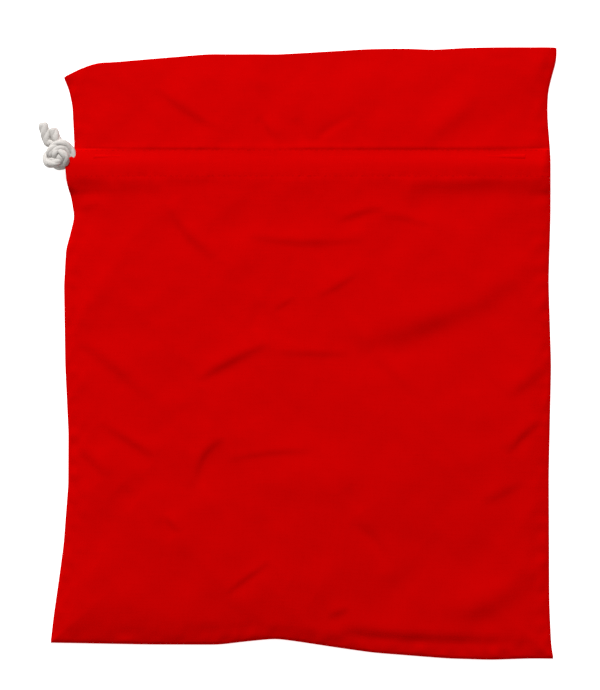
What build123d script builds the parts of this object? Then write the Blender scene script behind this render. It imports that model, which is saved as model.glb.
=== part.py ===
from build123d import *
import os
from math import hypot

# Drawstring stuff sack lying flat and open on its back.  Millimetres, +Z up, +Y from the bottom
# seam to the mouth.  The origin is the middle of the underside, where the sack rests.

# ---- driving dimensions -------------------------------------------------------------------------
SACK_WIDTH = 250.0          # side seam to side seam
SACK_HEIGHT = 305.0         # bottom seam to the folded top edge
CLOTH = 0.5                 # one ply of cotton
HEADER_DEPTH = 51.0         # folded top edge down to the casing's upper row of stitches
CASING_DEPTH = 11.0         # between the casing's two rows of stitches
HEM_TURN_UNDER = 2.5        # hem cloth below the casing's lower row
CORD_DIAMETER = 4.0         # soft braided drawcord
CORD_CLEARANCE = 0.3        # drawcord to the cloth all round it
EXIT_BEND = 4.8             # radius of each strand's bend outside its tunnel
MOUTH_GAP = 4.6             # open height between the two casings
SEAM_GAP = 0.3              # front cloth to back cloth along the seams
SEAM_SLOPE = 20.0           # width over which the front cloth falls to a seam
SEAM_ALLOWANCE = 9.0        # overlocked raw edges inside the seams
ALLOWANCE_THICKNESS = 0.8   # two plies pressed together
ALLOWANCE_INSET = 3.0       # outer edge of an allowance in from the sack's edge
EXIT_INSET = 9.0            # left edge of the header, in from the sack's edge
SHOULDER_DROP = 6.0         # sloping shoulder below the drawcord's exit
HEM_INSET = 13.0            # both ends of the hems, in from the sack's edge
THREAD_DIAMETER = 0.4       # sewing thread
OVERLOCK_DIAMETER = 0.7     # bundle of looper threads on a raw edge
THREAD_INSET = 1.7          # seam thread in from the sack's edge
THREAD_GAP = 0.3            # row of stitches to the casing's wall
BACKTACK_LENGTH = 6.0       # reversed stitches that lock the left seam's top end
KNOT_DIAMETER = 15.0        # overhand knot tied in both ends of the drawcord
KNOT_GAP = 2.0              # left edge of the header to the knot
KNOT_RISE = 0.5             # knot's centre above the drawcord's line
LONG_TAIL = 10.0            # cut ends of the drawcord beyond the knot
SHORT_TAIL = 5.0
TAIL_GAP = 0.6              # between the two tails
TAIL_DIRECTION = (-0.62, 0.78, 0.0)

# ---- levels and lines worked out from them ------------------------------------------------------
LEFT = -SACK_WIDTH / 2
RIGHT = SACK_WIDTH / 2
BOTTOM = -SACK_HEIGHT / 2
TOP = SACK_HEIGHT / 2
UPPER_ROW = TOP - HEADER_DEPTH
LOWER_ROW = UPPER_ROW - CASING_DEPTH
HEM_END = LOWER_ROW - HEM_TURN_UNDER
SHOULDER_LINE = LOWER_ROW - SHOULDER_DROP
TUNNEL = CORD_DIAMETER + 2 * CORD_CLEARANCE
BACK_HEM_LOW = CLOTH + TUNNEL
BACK_HEM_HIGH = BACK_HEM_LOW + CLOTH
FRONT_HEM_LOW = BACK_HEM_HIGH + MOUTH_GAP
FRONT_HEM_HIGH = FRONT_HEM_LOW + CLOTH
RIDGE_LOW = FRONT_HEM_HIGH + TUNNEL
RIDGE_HIGH = RIDGE_LOW + CLOTH
SEAM_LEVEL = CLOTH + SEAM_GAP
BODY_LOW = FRONT_HEM_HIGH
BODY_HIGH = BODY_LOW + CLOTH
SEAM_WALL = CLOTH * hypot(SEAM_SLOPE, BODY_HIGH - SEAM_LEVEL) / (BODY_HIGH - SEAM_LEVEL)
HEADER_LEFT = LEFT + EXIT_INSET
HEM_SPAN = (LEFT + HEM_INSET, RIGHT - HEM_INSET)
ALLOWANCE_HIGH = CLOTH + ALLOWANCE_THICKNESS
CORD_RADIUS = CORD_DIAMETER / 2
CORD_LINE = UPPER_ROW - CLOTH - CORD_CLEARANCE - CORD_RADIUS
BACK_CORD_LEVEL = CLOTH + TUNNEL / 2
FRONT_CORD_LEVEL = FRONT_HEM_HIGH + TUNNEL / 2
TURN_RADIUS = (FRONT_CORD_LEVEL - BACK_CORD_LEVEL) / 2
TURN_START = RIGHT - CLOTH - CORD_CLEARANCE - CORD_RADIUS - TURN_RADIUS
KNOT_RADIUS = KNOT_DIAMETER / 2
KNOT_CENTRE = Vector(HEADER_LEFT - KNOT_GAP - KNOT_RADIUS, CORD_LINE + KNOT_RISE, KNOT_RADIUS)
TAIL_SIDE = (CORD_DIAMETER + TAIL_GAP) / 2
CUT_PAST = 5.0              # how far a cutting solid runs past what it cuts


def block(x, y, z):
    """A box from three (low, high) pairs."""
    size = [high - low for low, high in (x, y, z)]
    middle = [(low + high) / 2 for low, high in (x, y, z)]
    return Pos(*middle) * Box(*size)


def prism(plane, points, length):
    """A polygon on a plane, pushed along the plane's normal."""
    return extrude(plane * make_face(Polyline(*points, close=True)), length)


def rod(start, end, diameter):
    """A straight round rod between two points."""
    axis = Vector(*end) - Vector(*start)
    return extrude(Plane(start, z_dir=axis) * Circle(diameter / 2), axis.length)


def shoulder_cut():
    """What is cut off both cloths at the left: a notch for the drawcord, and the header's inset."""
    outline = [
        (LEFT - CUT_PAST, SHOULDER_LINE),
        (LEFT, SHOULDER_LINE),
        (HEADER_LEFT, LOWER_ROW - CLOTH),
        (HEADER_LEFT, TOP + CUT_PAST),
        (LEFT - CUT_PAST, TOP + CUT_PAST),
    ]
    return Pos(0, 0, -CUT_PAST) * prism(Plane.XY, outline, RIDGE_HIGH + 2 * CUT_PAST)


def swelling(inset, high):
    """The sack's puffed shape: it slopes to both side seams and the bottom, and is open at the top."""
    rise = BODY_HIGH - SEAM_LEVEL
    run = SEAM_SLOPE * (high - SEAM_LEVEL) / rise
    half = SACK_WIDTH / 2 - inset
    across = [(-half, SEAM_LEVEL), (half, SEAM_LEVEL), (half - run, high), (run - half, high)]
    foot = BOTTOM + inset
    reach = TOP + (CUT_PAST if inset else 0)
    along = [(foot, SEAM_LEVEL), (reach, SEAM_LEVEL), (reach, high), (foot + run, high)]
    sides = Pos(0, BOTTOM, 0) * prism(Plane.XZ, across, -SACK_HEIGHT - CUT_PAST)
    ends = Pos(LEFT, 0, 0) * prism(Plane.YZ, along, SACK_WIDTH)
    return sides & ends


def front_hem():
    """The front cloth's folded-over ply: the header's lining and the floor of the casing."""
    lining = swelling(SEAM_WALL, BODY_LOW) - swelling(2 * SEAM_WALL, FRONT_HEM_LOW)
    return lining & block(HEM_SPAN, (HEM_END, TOP), (0, FRONT_HEM_HIGH))


def front_panel():
    """The upper cloth: the puffed body and header, and the ridge over the casing between them."""
    hollow = swelling(SEAM_WALL, BODY_LOW)
    casing = block((LEFT, RIGHT - CLOTH), (LOWER_ROW, UPPER_ROW), (0, RIDGE_LOW))
    rows = (LOWER_ROW - CLOTH, UPPER_ROW + CLOTH)
    ridge = block((HEADER_LEFT, RIGHT), rows, (SEAM_LEVEL, RIDGE_HIGH))
    return swelling(0, BODY_HIGH) + ridge - hollow - casing - shoulder_cut()


def back_panel():
    """The lower cloth, flat on whatever the sack lies on."""
    sheet = block((LEFT, RIGHT), (BOTTOM, TOP), (0, CLOTH))
    return sheet - shoulder_cut()


def back_hem():
    """The back cloth's folded-over ply: the header's lining, and the ridge over the back casing."""
    lining = block(HEM_SPAN, (HEM_END, TOP), (CLOTH, 2 * CLOTH))
    ridge = block(HEM_SPAN, (LOWER_ROW - CLOTH, UPPER_ROW + CLOTH), (CLOTH, BACK_HEM_HIGH))
    casing = block(HEM_SPAN, (LOWER_ROW, UPPER_ROW), (CLOTH, BACK_HEM_LOW))
    return lining + ridge - casing


def side_allowance(side):
    """The two raw edges inside a side seam; side is -1 at the left and 1 at the right."""
    edges = sorted(side * (RIGHT - inset) for inset in (ALLOWANCE_INSET, allowance_end()))
    low = BOTTOM + ALLOWANCE_INSET
    return block(edges, (low, SHOULDER_LINE), (CLOTH, ALLOWANCE_HIGH))


def bottom_allowance():
    """The two raw edges inside the bottom seam, between the side allowances."""
    half = SACK_WIDTH / 2 - allowance_end() - OVERLOCK_DIAMETER - SEAM_GAP
    rows = (BOTTOM + ALLOWANCE_INSET, BOTTOM + allowance_end())
    return block((-half, half), rows, (CLOTH, ALLOWANCE_HIGH))


def allowance_end():
    """How far in from the sack's edge an allowance reaches."""
    return ALLOWANCE_INSET + SEAM_ALLOWANCE


def side_overlock(side):
    """The looper threads along a side allowance's raw edge."""
    x = side * (RIGHT - allowance_end() - OVERLOCK_DIAMETER / 2)
    z = CLOTH + OVERLOCK_DIAMETER / 2
    start = (x, BOTTOM + ALLOWANCE_INSET, z)
    return rod(start, (x, SHOULDER_LINE, z), OVERLOCK_DIAMETER)


def bottom_overlock():
    """The looper threads along the bottom allowance's raw edge."""
    half = SACK_WIDTH / 2 - allowance_end() - OVERLOCK_DIAMETER - SEAM_GAP
    y = BOTTOM + allowance_end() + OVERLOCK_DIAMETER / 2
    z = CLOTH + OVERLOCK_DIAMETER / 2
    return rod((-half, y, z), (half, y, z), OVERLOCK_DIAMETER)


def side_seam_thread(side):
    """The row of stitches that joins front and back along one side."""
    x = side * (RIGHT - THREAD_INSET)
    z = CLOTH + THREAD_DIAMETER / 2
    top = SHOULDER_LINE if side < 0 else HEM_END
    return rod((x, BOTTOM + ALLOWANCE_INSET, z), (x, top, z), THREAD_DIAMETER)


def bottom_seam_thread():
    """The row of stitches that joins front and back along the bottom."""
    half = SACK_WIDTH / 2 - ALLOWANCE_INSET
    y = BOTTOM + THREAD_INSET
    z = CLOTH + THREAD_DIAMETER / 2
    return rod((-half, y, z), (half, y, z), THREAD_DIAMETER)


def casing_thread(row, level):
    """A row of stitches beside the casing; row is -1 for the lower row and 1 for the upper one."""
    edge = UPPER_ROW if row > 0 else LOWER_ROW
    y = edge + row * (CLOTH + THREAD_GAP + THREAD_DIAMETER / 2)
    z = level + THREAD_DIAMETER / 2
    half = SACK_WIDTH / 2 - SEAM_SLOPE - CLOTH
    return rod((-half, y, z), (half, y, z), THREAD_DIAMETER)


def exit_backtack():
    """The reversed stitches at the top end of the left seam, below the drawcord's exit."""
    y = SHOULDER_LINE + THREAD_GAP + THREAD_DIAMETER / 2
    z = CLOTH + THREAD_DIAMETER / 2
    start = LEFT + THREAD_INSET + THREAD_DIAMETER
    return rod((start, y, z), (start + BACKTACK_LENGTH, y, z), THREAD_DIAMETER)


def knot():
    """The overhand knot, a ball as large as the tied cord."""
    return Pos(*KNOT_CENTRE) * Sphere(KNOT_RADIUS)


def strand(level, right_end):
    """One strand: along its tunnel at a level, out of the exit, and into the knot."""
    exit_corner = Vector(HEADER_LEFT - CORD_RADIUS, CORD_LINE, level)
    to_knot = (KNOT_CENTRE - exit_corner).normalized()
    turn = Vector(-1, 0, 0).get_angle(to_knot)
    reach = (KNOT_CENTRE - exit_corner).length - KNOT_RADIUS + CORD_RADIUS
    print(f"strand at {level:.1f}: turns {turn:.0f} degrees, radius {EXIT_BEND:.1f}")
    route = [(right_end, CORD_LINE, level), exit_corner, exit_corner + to_knot * reach]
    path = FilletPolyline(*route, radius=EXIT_BEND)
    section = Plane(route[0], z_dir=(-1, 0, 0)) * Circle(CORD_RADIUS)
    return sweep(section, path=path)


def drawcord_runs():
    """The two strands in the tunnels; the front one stops short of the knot, so that it can lift."""
    end = TURN_START - CORD_CLEARANCE
    room = Pos(*KNOT_CENTRE) * Sphere(KNOT_RADIUS + CORD_CLEARANCE)
    back = strand(BACK_CORD_LEVEL, end) - knot()
    front = strand(FRONT_CORD_LEVEL, end) - room
    return back, front


def drawcord_turn():
    """The half turn at the right seam, where the drawcord passes from back tunnel to front."""
    arc = CenterArc((TURN_START, (BACK_CORD_LEVEL + FRONT_CORD_LEVEL) / 2), TURN_RADIUS, -90, 180)
    path = Plane((0, CORD_LINE, 0), x_dir=(1, 0, 0), z_dir=(0, -1, 0)) * arc
    section = Plane(path @ 0, z_dir=path % 0) * Circle(CORD_RADIUS)
    return sweep(section, path=path)


def tail(length, sideways):
    """A cut end of the drawcord, from the knot's surface outwards."""
    along = Vector(*TAIL_DIRECTION).normalized()
    across = along.cross(Vector(0, 0, 1))
    start = KNOT_CENTRE + across * sideways
    return rod(start, start + along * (KNOT_RADIUS + length), CORD_DIAMETER) - knot()


def parts():
    back_run, front_run = drawcord_runs()
    named = {
        "back_panel": back_panel(),
        "back_hem": back_hem(),
        "back_casing_upper_thread": casing_thread(1, 2 * CLOTH),
        "back_casing_lower_thread": casing_thread(-1, 2 * CLOTH),
        "front_panel": front_panel(),
        "front_hem": front_hem(),
        "front_casing_upper_thread": casing_thread(1, BODY_HIGH),
        "front_casing_lower_thread": casing_thread(-1, BODY_HIGH),
        "bottom_seam_allowance": bottom_allowance(),
        "bottom_overlock_thread": bottom_overlock(),
        "bottom_seam_thread": bottom_seam_thread(),
        "exit_backtack": exit_backtack(),
        "drawcord_back_run": back_run,
        "drawcord_front_run": front_run,
        "drawcord_turn": drawcord_turn(),
        "drawcord_knot": knot(),
        "drawcord_long_tail": tail(LONG_TAIL, -TAIL_SIDE),
        "drawcord_short_tail": tail(SHORT_TAIL, TAIL_SIDE),
    }
    for name, side in (("left", -1), ("right", 1)):
        named[f"{name}_seam_allowance"] = side_allowance(side)
        named[f"{name}_overlock_thread"] = side_overlock(side)
        named[f"{name}_seam_thread"] = side_seam_thread(side)
    return named


os.makedirs("parts", exist_ok=True)
for node, shape in parts().items():
    export_step(shape, f"parts/{node}.step")
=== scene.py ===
# %% [markdown]
# # A drawstring stuff sack in Blender
# The real sack is two cotton cloths sewn together at both sides and the bottom. At the top each
# cloth is folded over and sewn down with two rows of stitches: the channel between the rows is the
# casing, and the drawcord runs through it. Above the casing stands the deep folded header.
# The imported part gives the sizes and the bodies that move. This lesson dresses them: laid cloth
# with creases, stitches, overlocked edges, and a soft cord tied in an overhand knot. On the laid
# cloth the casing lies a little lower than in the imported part, so both rows and the cord are moved.

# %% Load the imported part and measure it
import bpy
import numpy as np
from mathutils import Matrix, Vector


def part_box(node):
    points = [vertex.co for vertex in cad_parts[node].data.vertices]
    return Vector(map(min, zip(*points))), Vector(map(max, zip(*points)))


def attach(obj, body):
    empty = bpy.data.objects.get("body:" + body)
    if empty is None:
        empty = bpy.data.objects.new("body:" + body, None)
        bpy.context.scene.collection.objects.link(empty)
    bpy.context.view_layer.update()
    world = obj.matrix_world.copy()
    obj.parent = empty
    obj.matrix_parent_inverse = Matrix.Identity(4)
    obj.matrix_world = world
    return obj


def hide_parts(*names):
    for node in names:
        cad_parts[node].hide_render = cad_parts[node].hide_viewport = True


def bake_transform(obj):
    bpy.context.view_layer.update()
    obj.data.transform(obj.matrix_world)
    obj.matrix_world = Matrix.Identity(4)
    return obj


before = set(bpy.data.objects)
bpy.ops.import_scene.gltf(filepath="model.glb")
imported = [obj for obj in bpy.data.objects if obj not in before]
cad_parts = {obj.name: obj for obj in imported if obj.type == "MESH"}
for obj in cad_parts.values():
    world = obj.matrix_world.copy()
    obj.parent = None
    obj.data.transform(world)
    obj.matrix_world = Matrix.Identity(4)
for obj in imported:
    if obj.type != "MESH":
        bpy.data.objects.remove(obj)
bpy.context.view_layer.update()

MM = 0.001


def middle(node, axis):
    """Where the middle of a node lies along an axis, in millimetres."""
    low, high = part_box(node)
    return (low[axis] + high[axis]) / 2 / MM


def extent(node, axis):
    """How long a node is along an axis, in millimetres."""
    low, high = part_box(node)
    return (high[axis] - low[axis]) / MM


X, Y, Z = 0, 1, 2
HALF_WIDTH = extent("front_panel", X) / 2
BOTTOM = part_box("back_panel")[0].y / MM
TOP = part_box("back_panel")[1].y / MM
CLOTH = extent("back_panel", Z)
ROW_SLUMP = 1.2
UPPER_ROW = middle("front_casing_upper_thread", Y) - ROW_SLUMP
LOWER_ROW = middle("front_casing_lower_thread", Y) - ROW_SLUMP
CORD_LINE = middle("drawcord_turn", Y) - ROW_SLUMP
CORD_RADIUS = extent("drawcord_turn", Y) / 2
print(f"sack {2 * HALF_WIDTH:.0f} x {TOP - BOTTOM:.0f} mm")
print(f"casing from {LOWER_ROW:.1f} to {UPPER_ROW:.1f} mm")

# %% [markdown]
# ## Camera and light
# The sack lies on a table and is seen from straight above. A long lens keeps the edges of the view
# from leaning. One soft panel stands beyond the header and a little to the left. It lights the
# cloth aslant, so each crease has a bright side and a dull side, and an even sky fills the rest.

# %% Camera and light
VIEW_HEIGHT = 345.0
VIEW_CENTRE = (-3.75, 4.0, 4.0)
LENS, SENSOR = 100.0, 36.0
KEY_PLACE, KEY_AIM = Vector((-0.4, 2.0, 1.72)), Vector((0.0, 0.0, 0.0))
KEY_SIZE, KEY_POWER = 0.7, 93.0
SKY = 0.36
scene = bpy.context.scene

camera_data = bpy.data.cameras.new("camera")
camera_data.lens = LENS
camera_data.sensor_width = SENSOR
camera_data.clip_start = 0.01
camera = bpy.data.objects.new("camera", camera_data)
scene.collection.objects.link(camera)
distance = VIEW_HEIGHT * LENS / SENSOR
camera.location = Vector(VIEW_CENTRE) * MM + Vector((0, 0, distance * MM))
scene.camera = camera

key_data = bpy.data.lights.new("key_light", "AREA")
key_data.shape = "SQUARE"
key_data.size = KEY_SIZE
key_data.energy = KEY_POWER
key_light = bpy.data.objects.new("key_light", key_data)
scene.collection.objects.link(key_light)
key_light.location = KEY_PLACE
key_light.rotation_euler = (KEY_AIM - KEY_PLACE).to_track_quat("-Z", "Y").to_euler()
scene.view_settings.view_transform = "Standard"
world = bpy.data.worlds.new("studio")
world.use_nodes = True
sky = world.node_tree.nodes["Background"]
sky.inputs["Color"].default_value = (1.0, 1.0, 1.0, 1.0)
sky.inputs["Strength"].default_value = SKY
scene.world = world
print(f"camera {distance:.0f} mm above the sack")

# %% [markdown]
# ## Writing node trees as sums
# Shader and Geometry Nodes both work on sockets. A small class wraps a socket, so that an ordinary
# sum such as `1 - mask * 0.3` adds the Math nodes by itself, and one method adds any other node.

# %% A wrapped socket, and a builder for trees
MATH = {"+": "ADD", "-": "SUBTRACT", "*": "MULTIPLY", "/": "DIVIDE"}


class Wire:
    """A number that travels along a node tree, with the four operators and a few functions."""

    def __init__(self, tree, socket):
        self.tree, self.socket = tree, socket

    def combine(self, operation, first, second):
        """A Math node that works on two numbers or sockets."""
        return self.tree.add("ShaderNodeMath", {"operation": operation}, {0: first, 1: second})

    def __add__(self, other):
        return self.combine(MATH["+"], self, other)

    def __radd__(self, other):
        return self.combine(MATH["+"], other, self)

    def __sub__(self, other):
        return self.combine(MATH["-"], self, other)

    def __rsub__(self, other):
        return self.combine(MATH["-"], other, self)

    def __mul__(self, other):
        return self.combine(MATH["*"], self, other)

    def __rmul__(self, other):
        return self.combine(MATH["*"], other, self)

    def __truediv__(self, other):
        return self.combine(MATH["/"], self, other)

    def __rtruediv__(self, other):
        return self.combine(MATH["/"], other, self)

    def apply(self, operation, other=0.0):
        """Any other Math operation, such as SINE or POWER."""
        return self.combine(operation, self, other)

    def part(self, name):
        """Another output of the same node."""
        return Wire(self.tree, self.socket.node.outputs[name])


class Tree:
    """Adds nodes to a shader or geometry tree."""

    def __init__(self, tree):
        self.tree = tree

    def add(self, kind, settings=(), sockets=(), output=0):
        """A node of a kind; its settings are set first, then its sockets' values or links."""
        node = self.tree.nodes.new(kind)
        for name, value in dict(settings).items():
            setattr(node, name, value)
        for key, value in dict(sockets).items():
            if isinstance(value, list):
                for wire in value:
                    self.tree.links.new(wire.socket, node.inputs[key])
            elif isinstance(value, Wire):
                self.tree.links.new(value.socket, node.inputs[key])
            else:
                node.inputs[key].default_value = value
        return Wire(self, node.outputs[output]) if len(node.outputs) else node


# %% [markdown]
# ## Cotton, thread and cord
# Plain weave is one thread over, one thread under, both ways. It is drawn in the cloth's own flat
# coordinates, kept in its UV map in metres, so that it bends with each crease. Spun threads vary in
# thickness, which shows as short faint streaks along both thread directions. Cotton has almost no
# gloss, so its specular level is nothing and its roughness is high. The cord is undyed, and its
# fibres follow the twist.

# %% Materials
WEAVE_PITCH = 0.00052
SLUB_STRETCH, SLUB_SCALE = 0.06, 900.0
COTTON_RED = (0.505, 0.0005, 0.0005, 1.0)
COTTON_DULL = (0.465, 0.0004, 0.0004, 1.0)
THREAD_RED = (0.47, 0.0008, 0.0008, 1.0)
OVERLOCK_RED = (0.56, 0.004, 0.004, 1.0)
CORD_PALE = (0.52, 0.50, 0.475, 1.0)
CORD_DULL = (0.37, 0.335, 0.315, 1.0)
WEAVE_RELIEF, THREAD_RELIEF, FIBRE_RELIEF = 0.00006, 0.00004, 0.00012
TAU = 2 * np.pi


def new_material(name, roughness):
    """An empty matt material, with its tree and its shader."""
    material = bpy.data.materials.new(name)
    material.use_nodes = True
    shader = material.node_tree.nodes["Principled BSDF"]
    shader.inputs["Roughness"].default_value = roughness
    shader.inputs["Specular IOR Level"].default_value = 0.0
    return material, Tree(material.node_tree), shader


def finish_material(tree, shader, colour, height, distance):
    """Links a colour and a bump height to the shader."""
    relief = {"Height": height, "Distance": distance, "Strength": 1.0}
    bump = tree.add("ShaderNodeBump", {}, relief)
    tree.tree.links.new(colour.socket, shader.inputs["Base Color"])
    tree.tree.links.new(bump.socket, shader.inputs["Normal"])


def vector_sum(tree, operation, values):
    """A Vector Math node."""
    return tree.add("ShaderNodeVectorMath", {"operation": operation}, values)


def stretched_noise(tree, place, stretch, scale, detail=2.0):
    """Noise that is drawn out along one direction."""
    scaled = vector_sum(tree, "MULTIPLY", {0: place, 1: stretch})
    return tree.add("ShaderNodeTexNoise", {}, {"Vector": scaled, "Scale": scale, "Detail": detail})


def cotton():
    """Red plain-woven cotton."""
    material, tree, shader = new_material("red_cotton", 0.95)
    flat = tree.add("ShaderNodeUVMap", {"uv_map": "UVMap"})
    across = tree.add("ShaderNodeSeparateXYZ", {}, {0: flat})
    up = across.part("Y")
    half_wave = TAU / 2 / WEAVE_PITCH
    warp = (across * half_wave).apply("COSINE")
    weft = (up * half_wave).apply("COSINE")
    over = warp * weft
    weave = over * over * 0.5 + (warp * warp + weft * weft) * 0.25
    warp_slubs = stretched_noise(tree, flat, (1.0, SLUB_STRETCH, 1.0), SLUB_SCALE)
    weft_slubs = stretched_noise(tree, flat, (SLUB_STRETCH, 1.0, 1.0), SLUB_SCALE)
    fade = tree.add("ShaderNodeTexNoise", {}, {"Vector": flat, "Scale": 22.0, "Detail": 4.0})
    # The slubs and the broad fade are the cloth's own uneven tone; the weave term is painted shade, a
    # little darker in the hollows between the thread crowns.
    mix = (warp_slubs + weft_slubs) * 0.55 + fade * 0.5 - weave * 0.12
    colour = tree.add(
        "ShaderNodeMix",
        {"data_type": "RGBA", "clamp_factor": True},
        {0: mix - 0.35, 6: COTTON_RED, 7: COTTON_DULL},
        output=2,
    )
    height = weave * 0.6 + (warp_slubs + weft_slubs) * 0.5
    finish_material(tree, shader, colour, height, WEAVE_RELIEF)
    return material


def thread(name, colour, twist_pitch):
    """Spun sewing thread: fine slanted plies, with painted shade in the grooves between them."""
    material, tree, shader = new_material(name, 0.8)
    place = tree.add("ShaderNodeTexCoord", output=3)
    split = tree.add("ShaderNodeSeparateXYZ", {}, {0: place})
    slant = split + split.part("Y") * 0.7 + split.part("Z")
    plies = (slant * (TAU / twist_pitch)).apply("SINE") * 0.5 + 0.5
    # Painted shade: the grooves between the plies, where the bump is lowest, get 0.7 of the thread's
    # colour.
    ply_groove_shade = tuple(0.7 * c for c in colour[:3]) + (1.0,)
    blend = {0: plies, 6: ply_groove_shade, 7: colour}
    shade = tree.add("ShaderNodeMix", {"data_type": "RGBA"}, blend, output=2)
    finish_material(tree, shader, shade, plies, THREAD_RELIEF)
    return material


def cord_cotton():
    """Undyed soft cotton: loose fibres and a little shade between them."""
    material, tree, shader = new_material("natural_cord", 0.9)
    place = tree.add("ShaderNodeTexCoord", output=3)
    fibres = stretched_noise(tree, place, (0.35, 1.0, 1.0), 2600.0, 3.0)
    lumps = tree.add("ShaderNodeTexNoise", {}, {"Vector": place, "Scale": 420.0, "Detail": 3.0})
    mix = (fibres * 0.6 + lumps * 0.5 - 0.28).apply("POWER", 1.5) * 1.6
    shade = tree.add(
        "ShaderNodeMix",
        {"data_type": "RGBA", "clamp_factor": True},
        {0: mix, 6: CORD_PALE, 7: CORD_DULL},
        output=2,
    )
    finish_material(tree, shader, shade, fibres + lumps * 0.7, FIBRE_RELIEF)
    return material


RED_COTTON = cotton()
SEWING_THREAD = thread("sewing_thread", THREAD_RED, 0.0004)
OVERLOCK_THREAD = thread("overlock_thread", OVERLOCK_RED, 0.0006)
NATURAL_CORD = cord_cotton()
print("materials:", [m.name for m in bpy.data.materials])

# %% [markdown]
# ## The laid outline
# A laid sack is never a true rectangle: its corners poke out where the seams are thick, and its
# sides wander. Each edge is a line through a few points, softened so that it flows. Rows and
# columns of the cloth then run from edge to edge, closer together where the cloth turns sharply.

# %% Edges of the laid sack, in millimetres
EDGE_BLUR, LEFT_BLUR = 3.2, 1.5
BLUR_REACH = 3
LAY_ROUNDS = 6
GRID_GROWTH = 1.35


def softened(line, gap, blur):
    """Evenly spaced values with their corners eased; both ends stay where they are."""
    reach = int(BLUR_REACH * blur / gap) + 1
    before = 2 * line[0] - line[reach:0:-1]
    after = 2 * line[-1] - line[-2 : -reach - 2 : -1]
    weight = np.exp(-0.5 * (np.arange(-reach, reach + 1) * gap / blur) ** 2)
    return np.convolve(np.concatenate([before, line, after]), weight / weight.sum(), "valid")


def flowing(points, blur):
    """A soft curve through a few (along, across) points, as a function of along."""
    along, across = np.array(points, float).T
    fine = np.linspace(along[0], along[-1], 600)
    soft = softened(np.interp(fine, along, across), fine[1] - fine[0], blur)
    return lambda value: np.interp(value, fine, soft)


left_edge = flowing([
    (-144, -128.8), (-132, -127.4), (-111, -124.4), (-96, -122.4), (-66, -120.1), (-40, -120),
    (-6, -121.6), (34, -122.2), (52, -121.2), (60, -119), (68, -117), (77, -118.4), (86, -120.4),
    (95, -121), (99, -120), (102, -116.8), (106, -117.1), (124, -118), (132, -119.7), (139, -122.6),
], LEFT_BLUR)
right_edge = flowing([
    (-152, 123.3), (-148, 122.4), (-126, 121.4), (-61, 121.1), (-6, 122.3), (20, 121.5), (36, 121),
    (69, 122), (99, 122), (119, 120.4), (131, 120.6), (141, 123.2), (147, 125.2), (153, 125),
], EDGE_BLUR)
bottom_edge = flowing([
    (-128.4, -145.4), (-80, -146.3), (-44, -146.4), (-33, -145), (-16, -143.3), (-5, -144.8),
    (16, -148), (33, -150.4), (70, -153.3), (92, -154), (112, -153.3), (121.9, -153.4),
], EDGE_BLUR)
top_edge = flowing([
    (-121.9, 137.8), (-113, 142.2), (-102, 144.7), (-93, 145.2), (-50, 148.9), (-15, 148.7),
    (31, 151.5), (50, 151.7), (63, 151), (80, 152.1), (124.4, 152.6),
], EDGE_BLUR)
FLAT_LENGTH = TOP - BOTTOM
FLAT_LOWER = LOWER_ROW - BOTTOM
FLAT_UPPER = UPPER_ROW - BOTTOM


def lay(columns, stations):
    """Where flat cloth lands: columns run from -1 to 1, stations are millimetres up the cloth."""
    across, up = np.meshgrid(columns, stations)
    x = across * HALF_WIDTH
    for _ in range(LAY_ROUNDS):
        low, high = bottom_edge(x), top_edge(x)
        body = low + (LOWER_ROW - low) * up / FLAT_LOWER
        casing = LOWER_ROW + up - FLAT_LOWER
        header = UPPER_ROW + (high - UPPER_ROW) * (up - FLAT_UPPER) / (FLAT_LENGTH - FLAT_UPPER)
        y = np.where(up < FLAT_LOWER, body, np.where(up < FLAT_UPPER, casing, header))
        left, right = left_edge(y), right_edge(y)
        x = left + (right - left) * (across + 1) / 2
    return x, y


def graded(start, end, coarse, fine, ends=(True, True)):
    """Positions from start to end, closer together at the chosen ends."""
    steps = [fine]
    while steps[-1] * GRID_GROWTH < coarse:
        steps.append(steps[-1] * GRID_GROWTH)
    edge = np.cumsum([0.0] + steps)
    first = start + edge if ends[0] else np.array([start])
    last = (end - edge)[::-1] if ends[1] else np.array([end])
    count = max(1, round((last[0] - first[-1]) / coarse))
    return np.concatenate([first, np.linspace(first[-1], last[0], count + 1)[1:-1], last])


GRID, GRID_FINE = 1.3, 0.35
half_columns = graded(0.0, HALF_WIDTH, GRID, GRID_FINE, (False, True)) / HALF_WIDTH
COLUMNS = np.concatenate([-half_columns[:0:-1], half_columns])
STATIONS = np.concatenate([
    graded(0.0, FLAT_LOWER, GRID, GRID_FINE)[:-1],
    graded(FLAT_LOWER, FLAT_UPPER, GRID, GRID_FINE)[:-1],
    graded(FLAT_UPPER, FLAT_LENGTH, GRID, GRID_FINE),
])
CENTRE = len(half_columns) - 1
print(f"cloth grid {len(COLUMNS)} x {len(STATIONS)}")

# %% [markdown]
# ## Creases
# A crease is a short curved line on the cloth. Across it the cloth either dips, rises, or steps
# down like a stair with a soft nose. Every step is drawn from left to right and falls on its lower
# side, as folds do that were pushed up from below. Along it the crease fades out at both ends.
# Each crease has its height, its width and a few given points, so it can be read and moved by itself.
# The cloth simulation later lets the creases settle against each other.

# %% Crease shapes
CREASE_PARTS = 12
DRAPE = 4.0
END_FADE = 0.7
WAVES = 24


def crease_line(points):
    """A smooth curve through two to four points."""
    at = np.linspace(0, 1, len(points))
    fine = np.linspace(0, 1, CREASE_PARTS + 1)
    curves = [np.polyfit(at, column, len(points) - 1) for column in np.array(points, float).T]
    return np.column_stack([np.polyval(curve, fine) for curve in curves])


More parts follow.
